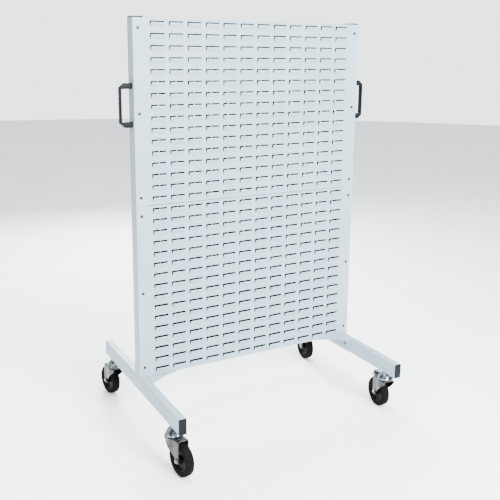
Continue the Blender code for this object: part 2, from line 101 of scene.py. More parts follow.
# The room is brighter where the camera looks straight at it than where it lights the trolley.
ROOM_STRENGTH = 1.7
BACKDROP_STRENGTH = 3.0
world = bpy.data.worlds.new("soft_white_room")
world.use_nodes = True
nodes = world.node_tree.nodes
links = world.node_tree.links
room = nodes["Background"]
room.inputs["Color"].default_value = (0.955, 0.98, 1.0, 1.0)
room.inputs["Strength"].default_value = ROOM_STRENGTH
backdrop = nodes.new("ShaderNodeBackground")
backdrop.inputs["Color"].default_value = (0.97, 0.985, 1.0, 1.0)
backdrop.inputs["Strength"].default_value = BACKDROP_STRENGTH
sight = nodes.new("ShaderNodeLightPath")
either = nodes.new("ShaderNodeMixShader")
links.new(sight.outputs["Is Camera Ray"], either.inputs[0])
links.new(room.outputs["Background"], either.inputs[1])
links.new(backdrop.outputs["Background"], either.inputs[2])
links.new(either.outputs["Shader"], nodes["World Output"].inputs["Surface"])
bpy.context.scene.world = world


def soft_light(name, place, target, size, power):
    """A square soft box at a place, facing a target."""
    lamp = bpy.data.lights.new(name, "AREA")
    lamp.size = size
    lamp.energy = power
    box = bpy.data.objects.new(name, lamp)
    bpy.context.scene.collection.objects.link(box)
    box.location = place
    box.visible_camera = False
    box.rotation_euler = (Vector(target) - Vector(place)).to_track_quat("-Z", "Y").to_euler()


soft_light("key_light", (0.3, -3.2, 2.3), (0.0, 0.0, 0.8), 1.4, 560.0)
soft_light("rear_light", (0.6, 3.2, 2.3), (0.0, 0.0, 0.8), 1.6, 380.0)
soft_light("top_light", (0.0, 0.0, 4.5), (0.0, 0.0, 0.0), 3.0, 330.0)


def noise(material, scale, detail=2.0, stretch=(1.0, 1.0, 1.0)):
    """An even grain in the material of a piece, with its size set by the object's own metres."""
    nodes = material.node_tree.nodes
    links = material.node_tree.links
    place = nodes.new("ShaderNodeTexCoord")
    mapping = nodes.new("ShaderNodeMapping")
    mapping.inputs["Scale"].default_value = stretch
    grain = nodes.new("ShaderNodeTexNoise")
    grain.inputs["Scale"].default_value = scale
    grain.inputs["Detail"].default_value = detail
    links.new(place.outputs["Object"], mapping.inputs["Vector"])
    links.new(mapping.outputs["Vector"], grain.inputs["Vector"])
    return grain.outputs["Fac"]


def spread(material, grain, socket, low, high, sharp=(0.3, 0.7)):
    """Lead a grain to one of the shader's numbers, between a low and a high value."""
    reach = material.node_tree.nodes.new("ShaderNodeMapRange")
    reach.inputs["From Min"].default_value = sharp[0]
    reach.inputs["From Max"].default_value = sharp[1]
    reach.inputs["To Min"].default_value = low
    reach.inputs["To Max"].default_value = high
    material.node_tree.links.new(grain, reach.inputs["Value"])
    shader = material.node_tree.nodes["Principled BSDF"]
    material.node_tree.links.new(reach.outputs["Result"], shader.inputs[socket])


def tint(material, grain, dark, light, sharp=(0.3, 0.7)):
    """Lead a grain to the base colour, between two colours."""
    ramp = material.node_tree.nodes.new("ShaderNodeValToRGB")
    ramp.color_ramp.elements[0].position = sharp[0]
    ramp.color_ramp.elements[0].color = (*dark, 1.0)
    ramp.color_ramp.elements[1].position = sharp[1]
    ramp.color_ramp.elements[1].color = (*light, 1.0)
    shader = material.node_tree.nodes["Principled BSDF"]
    material.node_tree.links.new(grain, ramp.inputs["Fac"])
    material.node_tree.links.new(ramp.outputs["Color"], shader.inputs["Base Color"])


def relief(material, grain, strength, depth):
    """Lead a grain to the surface's bump."""
    bump = material.node_tree.nodes.new("ShaderNodeBump")
    bump.inputs["Strength"].default_value = strength
    bump.inputs["Distance"].default_value = depth
    material.node_tree.links.new(grain, bump.inputs["Height"])
    shader = material.node_tree.nodes["Principled BSDF"]
    material.node_tree.links.new(bump.outputs["Normal"], shader.inputs["Normal"])


def surface(name, metallic=0.0, gloss=0.5):
    """A new material, with its two fixed numbers set on the shader itself."""
    material = bpy.data.materials.new(name)
    material.use_nodes = True
    shader = material.node_tree.nodes["Principled BSDF"]
    shader.inputs["Metallic"].default_value = metallic
    shader.inputs["Specular IOR Level"].default_value = gloss
    return material


FLOOR_RADIUS = 14.0
floor_paint = surface("pale_floor", gloss=0.2)
floor_grain = noise(floor_paint, 3.0)
tint(floor_paint, floor_grain, (0.90, 0.905, 0.91), (0.92, 0.925, 0.93))
spread(floor_paint, floor_grain, "Roughness", 0.70, 0.80)
bm = bmesh.new()
bmesh.ops.create_circle(bm, cap_ends=True, segments=64, radius=FLOOR_RADIUS)
floor_mesh = bpy.data.meshes.new("floor")
bm.to_mesh(floor_mesh)
bm.free()
floor = bpy.data.objects.new("floor", floor_mesh)
bpy.context.scene.collection.objects.link(floor)
floor.data.materials.append(floor_paint)


# The frame is welded from drawn rectangular steel tube: two feet, a post on each and a
# rail between the posts at the bottom and the top. Its light grey powder coat has a
# satin, slightly uneven skin.
FOOT_CORNER = 0.0030
POST_CORNER = 0.0030
RAIL_CORNER = 0.0020
CORNER_STEPS = 5
TUBE_WALL = 0.0020

powder_coat = surface("light_grey_powder_coat", gloss=0.35)
cloud = noise(powder_coat, 9.0, 4.0)
tint(powder_coat, cloud, (0.235, 0.325, 0.380), (0.260, 0.350, 0.405))
spread(powder_coat, cloud, "Roughness", 0.38, 0.50)
relief(powder_coat, noise(powder_coat, 950.0, 3.0), 0.30, 0.00035)

# Painted shade: a near-black stand-in for the shade between the panels. It is not a coat that the trolley has.
painted_shade = surface("painted_shade_between_panels", gloss=0.0)
painted_shade_grain = noise(painted_shade, 30.0, 3.0)
tint(painted_shade, painted_shade_grain, (0.004, 0.006, 0.010), (0.009, 0.012, 0.017))
spread(painted_shade, painted_shade_grain, "Roughness", 0.60, 0.80)


def closed(bm, name, smooth=32.0):
    """Finish a bmesh as a mesh whose faces point outwards, smooth but for its true edges."""
    bmesh.ops.remove_doubles(bm, verts=bm.verts[:], dist=0.00001)
    bmesh.ops.recalc_face_normals(bm, faces=bm.faces[:])
    mesh = bpy.data.meshes.new(name)
    bm.to_mesh(mesh)
    bm.free()
    mesh.shade_smooth()
    mesh.set_sharp_from_angle(angle=math.radians(smooth))
    return mesh


def piece(name, mesh, finish, body, slot, *nodes):
    """Put a finished mesh on the trolley, in place of its plain solids."""
    made = bpy.data.objects.new(name, mesh)
    bpy.context.scene.collection.objects.link(made)
    if len(mesh.materials) < 2:
        mesh.materials.clear()
        mesh.materials.append(finish)
    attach(made, body)
    if nodes:
        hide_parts(*nodes)
    return made


def rounded(wide, deep, corner, inset):
    """A rectangle with rounded corners, as points round its middle."""
    half = (wide / 2 - inset, deep / 2 - inset)
    radius = max(corner - inset, 0.0004)
    points = []
    for quarter, (sx, sy) in enumerate(((1, 1), (-1, 1), (-1, -1), (1, -1))):
        for step in range(CORNER_STEPS + 1):
            angle = math.radians(90 * (quarter + step / CORNER_STEPS))
            points.append((
                sx * (half[0] - radius) + radius * math.cos(angle),
                sy * (half[1] - radius) + radius * math.sin(angle),
            ))
    return points


def drawn_tube(name, node, axis, corner):
    """An open tube that fills a node's box, with its length along axis 0, 1 or 2."""
    low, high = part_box(node)
    size = high - low
    middle = (high + low) / 2
    first, second = [index for index in range(3) if index != axis]
    bm = bmesh.new()
    rings = []
    for inset, end in ((0.0, -1), (0.0, 1), (TUBE_WALL, 1), (TUBE_WALL, -1)):
        ring = []
        for p, q in rounded(size[first], size[second], corner, inset):
            at = Vector(middle)
            at[first] += p
            at[second] += q
            at[axis] += end * size[axis] / 2
            ring.append(bm.verts.new(at))
        rings.append(ring)
    count = len(rings[0])
    for ring, after in zip(rings, rings[1:] + rings[:1]):
        for index in range(count):
            beside = (index + 1) % count
            bm.faces.new([ring[index], ring[beside], after[beside], after[index]])
    return closed(bm, name)


for side in ("left", "right"):
    mesh = drawn_tube(f"{side}_foot_tube", f"{side}_foot", 1, FOOT_CORNER)
    piece(f"{side}_foot_tube", mesh, powder_coat, "trolley_frame", "powder_coat", f"{side}_foot")
    mesh = drawn_tube(f"{side}_post_tube", f"{side}_post", 2, POST_CORNER)
    piece(f"{side}_post_tube", mesh, powder_coat, "trolley_frame", "powder_coat", f"{side}_post")
# The rails are taken to be coated like the posts. They carry the painted shade here only, so that the slots in
# front of them read dark.
for rail in ("bottom_rail", "top_rail"):
    mesh = drawn_tube(f"{rail}_tube", rail, 0, RAIL_CORNER)
    # Painted shade on the rails: near black in place of their light grey coat.
    piece(f"{rail}_tube", mesh, painted_shade, "trolley_frame", "powder_coat", rail)


# Each panel is one steel sheet, punched and pressed in a single stroke per row. Every
# louvre is a tongue that stays joined along its lower edge and steps forward, so that a
# bin's lip hooks over its free top edge.
SHEET = 0.0012
COLUMNS = 12
ROWS = 16
COLUMN_PITCH = 0.0743
WINDOW_WIDTH = 0.058
WINDOW_HEIGHT = 0.022
WINDOW_CORNER = 0.0015
WINDOW_STEP = 0.0125
# A stand-in: the rear windows start lower, so that no light shows through both panels. The
# trolley's own windows are taken to be alike on both sides.
WINDOW_DROP = {"front": 0.0, "rear": 0.0046}
TOP_LAND = 0.0101
FIELD_SHIFT = 0.0027
TONGUE_SIDE_GAP = 0.0026
TONGUE_TOP_GAP = 0.0050
TONGUE_STEP = 0.0062
TONGUE_FOOT_INSET = 0.0018

panel_low, panel_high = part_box("front_upper_panel")
panel_width = panel_high.x - panel_low.x
panel_height = panel_high.z - panel_low.z
row_pitch = panel_height / ROWS
land = COLUMN_PITCH - WINDOW_WIDTH
field_width = COLUMNS * COLUMN_PITCH
left_margin = (panel_width - (field_width - land)) / 2 + FIELD_SHIFT - land / 2


def louvre_cell(drop):
    """One louvre and the sheet round it, as a skin. The sheet is at y = 0, outside is -y.

    The window's upper edge lies a drop below the top of its punched outline.
    """
    bm = bmesh.new()
    left, right = -land / 2, WINDOW_WIDTH + land / 2
    top, bottom = TOP_LAND, TOP_LAND - row_pitch
    w, h, c = WINDOW_WIDTH, WINDOW_HEIGHT, WINDOW_CORNER
    foot = TONGUE_FOOT_INSET

    def at(x, z, y=0.0):
        """A corner of the sheet, or of the tongue when y is given."""
        return bm.verts.new((x, y, z))

    outer = [at(left, top), at(right, top), at(right, bottom), at(left, bottom)]
    upper = [at(0, -drop - c), at(c, -drop), at(w - c, -drop), at(w, -drop - c)]
    step = [
        at(w, -WINDOW_STEP), at(w - foot, -WINDOW_STEP - foot),
        at(foot, -WINDOW_STEP - foot), at(0, -WINDOW_STEP),
    ]
    lower = [at(w - foot, -h), at(foot, -h)]
    bm.faces.new([outer[0], outer[1], upper[2], upper[1]])
    bm.faces.new([outer[1], upper[3], upper[2]])
    bm.faces.new([outer[1], outer[2], lower[0], step[1], step[0], upper[3]])
    bm.faces.new([outer[2], outer[3], lower[1], lower[0]])
    bm.faces.new([outer[3], outer[0], upper[0], step[3], step[2], lower[1]])
    bm.faces.new([outer[0], upper[1], upper[0]])
    gap = TONGUE_SIDE_GAP
    levels = [
        (-h + 0.0012, -0.0005, foot + 0.0006), (-h + 0.0070, -0.0040, foot + 0.0006),
        (-h + 0.0102, -0.0058, foot + 0.0006), (-h + 0.0116, -TONGUE_STEP, gap),
        (-TONGUE_TOP_GAP - 0.0010, -TONGUE_STEP, gap), (-TONGUE_TOP_GAP, -TONGUE_STEP, gap + 0.0010),
    ]
    before = [lower[1], lower[0]]
    for z, y, inset in levels:
        edge = [at(inset, z, y), at(w - inset, z, y)]
        bm.faces.new([before[0], before[1], edge[1], edge[0]])
        before = edge
    mesh = bpy.data.meshes.new("louvre_cell")
    bm.to_mesh(mesh)
    bm.free()
    return mesh


def margin_strips():
    """The plain sheet at both ends of the louvre field, divided like its rows."""
    bm = bmesh.new()
    ends = (
        (-land / 2 - left_margin, -land / 2),
        (field_width - land / 2, panel_width - land / 2 - left_margin),
    )
    for start, end in ends:
        before = None
        for row in range(ROWS + 1):
            z = TOP_LAND - row * row_pitch
            pair = [bm.verts.new((start, 0, z)), bm.verts.new((end, 0, z))]
            if before:
                bm.faces.new([before[0], before[1], pair[1], pair[0]])
            before = pair
    mesh = bpy.data.meshes.new("margin_strips")
    bm.to_mesh(mesh)
    bm.free()
    return mesh


def node_tree(name, inputs):
    """An empty Geometry Nodes tree with named inputs, and the sockets of those inputs."""
    tree = bpy.data.node_groups.new(name, "GeometryNodeTree")
    tree.interface.new_socket("Geometry", in_out="INPUT", socket_type="NodeSocketGeometry")
    ports = {}
    for label, kind in inputs:
        ports[label] = tree.interface.new_socket(label, in_out="INPUT", socket_type=kind)
    tree.interface.new_socket("Geometry", in_out="OUTPUT", socket_type="NodeSocketGeometry")
    return tree, ports


def grown(name, mesh, tree, ports, values):
    """Run a tree on a mesh once and keep the result as a plain mesh."""
    carrier = bpy.data.objects.new(name, mesh)
    bpy.context.scene.collection.objects.link(carrier)
    change = carrier.modifiers.new(name, "NODES")
    change.node_group = tree
    for label, value in values.items():
        change[ports[label].identifier] = value
    bpy.context.view_layer.update()
    depsgraph = bpy.context.evaluated_depsgraph_get()
    result = bpy.data.meshes.new_from_object(carrier.evaluated_get(depsgraph))
    carrier.modifiers.remove(change)
    bpy.data.objects.remove(carrier)
    return result


louvre_tree, louvre_ports = node_tree("louvre_field", (
    ("Columns", "NodeSocketInt"), ("Rows", "NodeSocketInt"), ("Column Pitch", "NodeSocketVector"),
    ("Row Pitch", "NodeSocketVector"), ("Margins", "NodeSocketObject"), ("Coat", "NodeSocketMaterial"),
))
nodes = louvre_tree.nodes
links = louvre_tree.links
entry = nodes.new("NodeGroupInput")
leave = nodes.new("NodeGroupOutput")
shape = entry.outputs["Geometry"]
for count, pitch in (("Columns", "Column Pitch"), ("Rows", "Row Pitch")):
    line = nodes.new("GeometryNodeMeshLine")
    line.mode = "OFFSET"
    repeat = nodes.new("GeometryNodeInstanceOnPoints")
    real = nodes.new("GeometryNodeRealizeInstances")
    links.new(entry.outputs[count], line.inputs["Count"])
    links.new(entry.outputs[pitch], line.inputs["Offset"])
    links.new(line.outputs["Mesh"], repeat.inputs["Points"])
    links.new(shape, repeat.inputs["Instance"])
    links.new(repeat.outputs["Instances"], real.inputs["Geometry"])
    shape = real.outputs["Geometry"]
margins = nodes.new("GeometryNodeObjectInfo")
join = nodes.new("GeometryNodeJoinGeometry")
weld = nodes.new("GeometryNodeMergeByDistance")
weld.inputs["Distance"].default_value = 0.00002
settle = nodes.new("GeometryNodeRealizeInstances")
coat = nodes.new("GeometryNodeSetMaterial")
links.new(entry.outputs["Margins"], margins.inputs["Object"])
links.new(shape, join.inputs["Geometry"])
links.new(margins.outputs["Geometry"], join.inputs["Geometry"])
links.new(join.outputs["Geometry"], weld.inputs["Geometry"])
links.new(weld.outputs["Geometry"], settle.inputs["Geometry"])
links.new(settle.outputs["Geometry"], coat.inputs["Geometry"])
links.new(entry.outputs["Coat"], coat.inputs["Material"])
links.new(coat.outputs["Geometry"], leave.inputs["Geometry"])

strips = bpy.data.objects.new("margin_strips", margin_strips())
bpy.context.scene.collection.objects.link(strips)
panel_skins = {}
for front_word, drop in WINDOW_DROP.items():
    panel_skins[front_word] = grown(f"{front_word}_skin", louvre_cell(drop), louvre_tree, louvre_ports, {
        "Columns": COLUMNS, "Rows": ROWS, "Column Pitch": (COLUMN_PITCH, 0.0, 0.0),
        "Row Pitch": (0.0, 0.0, -row_pitch), "Margins": strips, "Coat": powder_coat,
    })
bpy.data.objects.remove(strips)


def finished(name, mesh, changes, smooth=38.0):
    """Run modifiers, each (kind, settings), on a mesh once and keep the plain result."""
    carrier = bpy.data.objects.new(name, mesh)
    bpy.context.scene.collection.objects.link(carrier)
    for kind, settings in changes:
        change = carrier.modifiers.new(kind.lower(), kind)
        for key, value in settings.items():
            setattr(change, key, value)
    bpy.context.view_layer.update()
    depsgraph = bpy.context.evaluated_depsgraph_get()
    result = bpy.data.meshes.new_from_object(carrier.evaluated_get(depsgraph))
    bpy.data.objects.remove(carrier)
    result.shade_smooth()
    result.set_sharp_from_angle(angle=math.radians(smooth))
    return result


def thick_sheet(name, skin, thickness):
    """Give a skin its wall, inwards from its outer face, and make sure it faces outwards."""
    bm = bmesh.new()
    bm.from_mesh(skin)
    for face in bm.faces:
        face.material_index = 0
        face.normal_update()
        if face.normal.y > 0:
            face.normal_flip()
    skin = bpy.data.meshes.new(name)
    bm.to_mesh(skin)
    bm.free()
    # Slot 1 is painted shade. The solidify puts it on the sheet's inner face and its cut rims, and the rims
    # round the sheet's outer edge go back to the coat below.
    skin.materials.append(powder_coat)
    skin.materials.append(painted_shade)
    result = finished(name, skin, (("SOLIDIFY", {
        "thickness": thickness, "offset": -1.0, "use_even_offset": False,
        "material_offset": 1, "material_offset_rim": 1,
    }),), smooth=36.0)
    across_x = [vert.co.x for vert in result.vertices]
    up_z = [vert.co.z for vert in result.vertices]
    ends = (min(across_x), max(across_x), min(up_z), max(up_z))
    for face in result.polygons:
        x, z = face.center.x, face.center.z
        if min(abs(x - ends[0]), abs(x - ends[1]), abs(z - ends[2]), abs(z - ends[3])) < 0.0001:
            face.material_index = 0
    return result


for front_word, turn in (("front", 0.0), ("rear", math.pi)):
    panel_sheet = thick_sheet(f"{front_word}_louvred_sheet", panel_skins[front_word], SHEET)
    for level_word in ("lower", "upper"):
        node = f"{front_word}_{level_word}_panel"
        low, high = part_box(node)
        mesh = panel_sheet.copy()
        corner = Vector((left_margin + land / 2 - panel_width / 2, 0.0, 0.0))
        mesh.transform(Matrix.Translation(corner))
        mesh.transform(Matrix.Rotation(turn, 4, "Z"))
        face = low.y if turn == 0.0 else high.y
        mesh.transform(Matrix.Translation((0.0, face, high.z - TOP_LAND)))
        piece(f"{node}_sheet", mesh, powder_coat, "trolley_frame", "powder_coat", node)


# The panels are held to the posts by small screws with sunk drives, three down each
# end of each panel.
SCREW_HEAD_RADIUS = 0.0062
SCREW_HEAD_HEIGHT = 0.0014
SCREW_DRIVE_RADIUS = 0.0038
SCREW_FROM_EDGE = 0.020
SCREW_LEVELS = {"upper": (0.0365, 0.3430, 0.6560), "lower": (0.0390, 0.3430, 0.6460)}

screw_finish = surface("dark_plated_screws", metallic=0.6)
screw_cloud = noise(screw_finish, 420.0, 2.0)
tint(screw_finish, screw_cloud, (0.018, 0.020, 0.022), (0.038, 0.041, 0.045))
spread(screw_finish, screw_cloud, "Roughness", 0.35, 0.55)

screw_tree, screw_ports = node_tree("screw_rows", (
    ("Head", "NodeSocketObject"), ("Finish", "NodeSocketMaterial"),
))
nodes = screw_tree.nodes
links = screw_tree.links
entry = nodes.new("NodeGroupInput")
leave = nodes.new("NodeGroupOutput")
head = nodes.new("GeometryNodeObjectInfo")
repeat = nodes.new("GeometryNodeInstanceOnPoints")
real = nodes.new("GeometryNodeRealizeInstances")
coat = nodes.new("GeometryNodeSetMaterial")
links.new(entry.outputs["Head"], head.inputs["Object"])
links.new(entry.outputs["Geometry"], repeat.inputs["Points"])
links.new(head.outputs["Geometry"], repeat.inputs["Instance"])
links.new(repeat.outputs["Instances"], real.inputs["Geometry"])
links.new(real.outputs["Geometry"], coat.inputs["Geometry"])
links.new(entry.outputs["Finish"], coat.inputs["Material"])
links.new(coat.outputs["Geometry"], leave.inputs["Geometry"])


def turned(name, profile, sides, ring=False, smooth=32.0):
    """Spin (radius, height) points about Z. A ring's profile is a closed loop."""
    bm = bmesh.new()
    verts = [bm.verts.new((radius, 0, height)) for radius, height in profile]
    edges = [bm.edges.new(pair) for pair in zip(verts, verts[1:])]
    if ring:
        edges.append(bm.edges.new((verts[-1], verts[0])))
    bmesh.ops.spin(bm, geom=edges, cent=(0, 0, 0), axis=(0, 0, 1), dvec=(0, 0, 0),
                   angle=math.tau, steps=sides, use_merge=False, use_duplicate=False)
    return closed(bm, name, smooth)


screw_mesh = turned("screw_head", [
    (0.0, -0.0002), (SCREW_HEAD_RADIUS, -0.0002), (SCREW_HEAD_RADIUS, 0.0004),
    (0.80 * SCREW_HEAD_RADIUS, SCREW_HEAD_HEIGHT), (SCREW_DRIVE_RADIUS, SCREW_HEAD_HEIGHT),
    (0.8 * SCREW_DRIVE_RADIUS, 0.0001), (0.0, 0.0001),
], 12)
screw_mesh.transform(Matrix.Rotation(math.radians(90), 4, "X"))
screw_head = bpy.data.objects.new("screw_head", screw_mesh)
bpy.context.scene.collection.objects.link(screw_head)
places = []
for level_word, drops in SCREW_LEVELS.items():
    low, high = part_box(f"front_{level_word}_panel")
    for drop in drops:
        for x in (low.x + SCREW_FROM_EDGE, high.x - SCREW_FROM_EDGE):
            places.append((x, low.y, high.z - drop))
place_mesh = bpy.data.meshes.new("screw_places")
place_mesh.from_pydata(places, [], [])
screws = grown("screw_rows", place_mesh, screw_tree, screw_ports, {
    "Head": screw_head, "Finish": screw_finish,
})
bpy.data.objects.remove(screw_head)
for front_word, turn in (("front", 0.0), ("rear", math.pi)):
    mesh = screws.copy()
    mesh.transform(Matrix.Rotation(turn, 4, "Z"))
    piece(f"{front_word}_panel_screws", mesh, screw_finish, "trolley_frame", "zinc_plate")


# Moulded black caps close the tops of the posts and the ends of the feet. The bow
# handles are moulded in the same plastic, with a fine spark-eroded grain.
black_plastic = surface("black_moulded_plastic", gloss=0.08)
plastic_cloud = noise(black_plastic, 35.0, 3.0)
tint(black_plastic, plastic_cloud, (0.0030, 0.0042, 0.0055), (0.0058, 0.0075, 0.0095))
spread(black_plastic, plastic_cloud, "Roughness", 0.42, 0.55)
relief(black_plastic, noise(black_plastic, 1600.0, 2.0), 0.25, 0.0002)


def softened(name, node, width, segments, finish, slot, limit=25.0):
    """The node's own solid with its edges rounded over."""
    bm = bmesh.new()
    bm.from_mesh(frame["nodes"][node].data)
    bmesh.ops.remove_doubles(bm, verts=bm.verts[:], dist=0.00001)
    bmesh.ops.dissolve_limit(bm, angle_limit=math.radians(1.0), verts=bm.verts[:], edges=bm.edges[:])
    mesh = bpy.data.meshes.new(name)
    bm.to_mesh(mesh)
    bm.free()
    result = finished(name, mesh, (("BEVEL", {
        "width": width, "segments": segments, "limit_method": "ANGLE",
        "angle_limit": math.radians(limit), "use_clamp_overlap": True,
    }),), smooth=32.0)
    return piece(name, result, finish, frame["nodes"][node]["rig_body"], slot, node)


for side in ("left", "right"):
    softened(f"{side}_top_cap", f"{side}_post_cap", 0.0008, 3, black_plastic, "black_plastic")
    softened(f"{side}_bow_handle", f"{side}_handle", 0.0022, 4, black_plastic, "black_plastic")
    for end in ("front", "rear"):
        plug = f"{side}_foot_{end}"
        softened(f"{plug}_end_plug", f"{plug}_plug", 0.0006, 2, black_plastic, "black_plastic")


# Folded gusset plates tie each foot to its post and rail. Each hangs on the foot by
# two hexagon bolts.
zinc = surface("bright_zinc_plate", metallic=1.0)
zinc_cloud = noise(zinc, 60.0, 5.0)
tint(zinc, zinc_cloud, (0.035, 0.043, 0.050), (0.34, 0.40, 0.44), (0.38, 0.66))
spread(zinc, zinc_cloud, "Roughness", 0.20, 0.38)
relief(zinc, noise(zinc, 700.0, 2.0), 0.12, 0.0002)

for side in ("left", "right"):
    softened(f"{side}_gusset_plate", f"{side}_gusset", 0.0006, 2, powder_coat, "powder_coat")
    for end in ("front", "rear"):
        softened(f"{side}_gusset_{end}_hex_bolt", f"{side}_gusset_{end}_bolt", 0.0005, 2, zinc, "zinc_plate")


# Each castor swivels on a riveted kingpin: a domed cup under the foot, a ring of balls
# and a pressed fork, all zinc plated. The wheel is a black plastic hub with a solid
# rubber tyre on a through bolt.
CORNERS = ("front_left", "rear_left", "front_right", "rear_right")
SMOOTH_SIDES = 48

rubber = surface("black_rubber", gloss=0.03)
dust = noise(rubber, 260.0, 4.0)
tint(rubber, dust, (0.0005, 0.0005, 0.0006), (0.0070, 0.0068, 0.0066))
spread(rubber, dust, "Roughness", 0.62, 0.85)
relief(rubber, noise(rubber, 800.0, 2.0), 0.3, 0.0004)
fork_zinc = surface("dull_zinc_plate", metallic=1.0)
fork_cloud = noise(fork_zinc, 24.0, 3.0)
tint(fork_zinc, fork_cloud, (0.028, 0.027, 0.0245), (0.085, 0.085, 0.082))
spread(fork_zinc, fork_cloud, "Roughness", 0.24, 0.40)
relief(fork_zinc, noise(fork_zinc, 700.0, 2.0), 0.10, 0.0002)
hub_plastic = surface("black_hub_plastic", gloss=0.04)
hub_cloud = noise(hub_plastic, 120.0, 2.0)
tint(hub_plastic, hub_cloud, (0.0004, 0.0004, 0.0005), (0.0012, 0.0012, 0.0013))
spread(hub_plastic, hub_cloud, "Roughness", 0.35, 0.5)


def castor_frame(corner):
    """From a castor's own axes, trail and axle, to the trolley's."""
    joints = {joint["name"]: joint for joint in frame["joints"]}
    x, y, _ = joints[f"{corner}_swivel"]["pos_m"]
    v = joints[f"{corner}_roll"]["axis"]
    return Matrix(((v[1], v[0], 0, x), (-v[0], v[1], 0, y), (0, 0, 1, 0), (0, 0, 0, 1)))


def on_castor(corner, mesh):
    """A copy of a castor's piece, moved from the castor's own axes to its place."""
    made = mesh.copy()
    made.transform(castor_frame(corner))
    return made


def level_of(node, top):
    """The height of a castor piece's underside, or with top 1 of its top."""
    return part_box(f"front_left_{node}")[top].z


HEAD_HOLE = 0.0066
HEAD_RADIUS = 0.0335
HEAD_TOP_RADIUS = 0.0155
head_low, head_top = level_of("castor_head", 0), level_of("castor_head", 1)
rise = head_top - head_low
head_mesh = turned("castor_head_cup", [
    (HEAD_HOLE, head_low + 0.0010), (HEAD_RADIUS - 0.0045, head_low + 0.0010),
    (HEAD_RADIUS - 0.0022, head_low),
    (HEAD_RADIUS - 0.0004, head_low + 0.0008), (HEAD_RADIUS, head_low + 0.0024),
    (HEAD_RADIUS - 0.0004, head_low + 0.18 * rise), (HEAD_RADIUS - 0.0016, head_low + 0.22 * rise),
    (HEAD_RADIUS - 0.0030, head_low + 0.36 * rise), (HEAD_RADIUS - 0.0052, head_low + 0.52 * rise),
    (HEAD_RADIUS - 0.0086, head_low + 0.68 * rise), (HEAD_RADIUS - 0.0130, head_low + 0.82 * rise),
    (HEAD_TOP_RADIUS + 0.0010, head_low + 0.94 * rise), (HEAD_TOP_RADIUS - 0.0010, head_top - 0.0002),
    (HEAD_TOP_RADIUS - 0.0030, head_top), (HEAD_HOLE, head_top),
], SMOOTH_SIDES, ring=True, smooth=50.0)

RACE_INNER_RADIUS = 0.0170
RACE_OUTER_RADIUS = 0.0270
race_low, race_top = level_of("ball_race", 0), level_of("ball_race", 1)
race_mesh = turned("ball_race_ring", [
    (RACE_INNER_RADIUS, race_low), (RACE_OUTER_RADIUS - 0.0005, race_low),
    (RACE_OUTER_RADIUS, race_low + 0.0006), (RACE_OUTER_RADIUS, race_top - 0.0006),
    (RACE_OUTER_RADIUS - 0.0005, race_top), (RACE_INNER_RADIUS, race_top),
], SMOOTH_SIDES, ring=True)

kingpin_low, kingpin_top = level_of("kingpin", 0), level_of("kingpin", 1)
crown_low = level_of("fork", 1) - 0.0035
PIN_RADIUS = 0.0060
PIN_HEAD_RADIUS = 0.0095
PIN_HEAD_HEIGHT = 0.0060
kingpin_mesh = turned("kingpin_rivet", [
    (0.0, kingpin_top), (PIN_HEAD_RADIUS - 0.0012, kingpin_top),
    (PIN_HEAD_RADIUS, kingpin_top - 0.0012),
    (PIN_HEAD_RADIUS, kingpin_top - PIN_HEAD_HEIGHT), (PIN_RADIUS, kingpin_top - PIN_HEAD_HEIGHT),
    (PIN_RADIUS, crown_low - 0.0003), (PIN_HEAD_RADIUS, crown_low - 0.0003),
    (PIN_HEAD_RADIUS - 0.0006, crown_low - 0.0022), (PIN_HEAD_RADIUS - 0.0040, kingpin_low), (0.0, kingpin_low),
], 32)

# The fork is pressed from one zinc-plated sheet: a crown that reaches out over the tyre,
# and two legs whose back edge drops straight to the axle while the front edge slopes
# down to it. Each leg bulges towards the swivel axis. A brake needs the crown cut back.
TRAIL = 0.047
AXLE_LEVEL = 0.0625
FORK_SHEET = 0.0030
FORK_SKIN = 0.0205
FORK_END_RADIUS = 0.0125
FORK_BEND = 0.0045
FORK_TOP = level_of("fork", 1) - FORK_SHEET / 2
CROWN_FRONT = 0.0300
LEG_BACK = 0.0595
CROWN_BACK = {False: 0.0575, True: 0.0360}
FORK_FLARE = 0.0032
FORK_BULGE = 0.0070


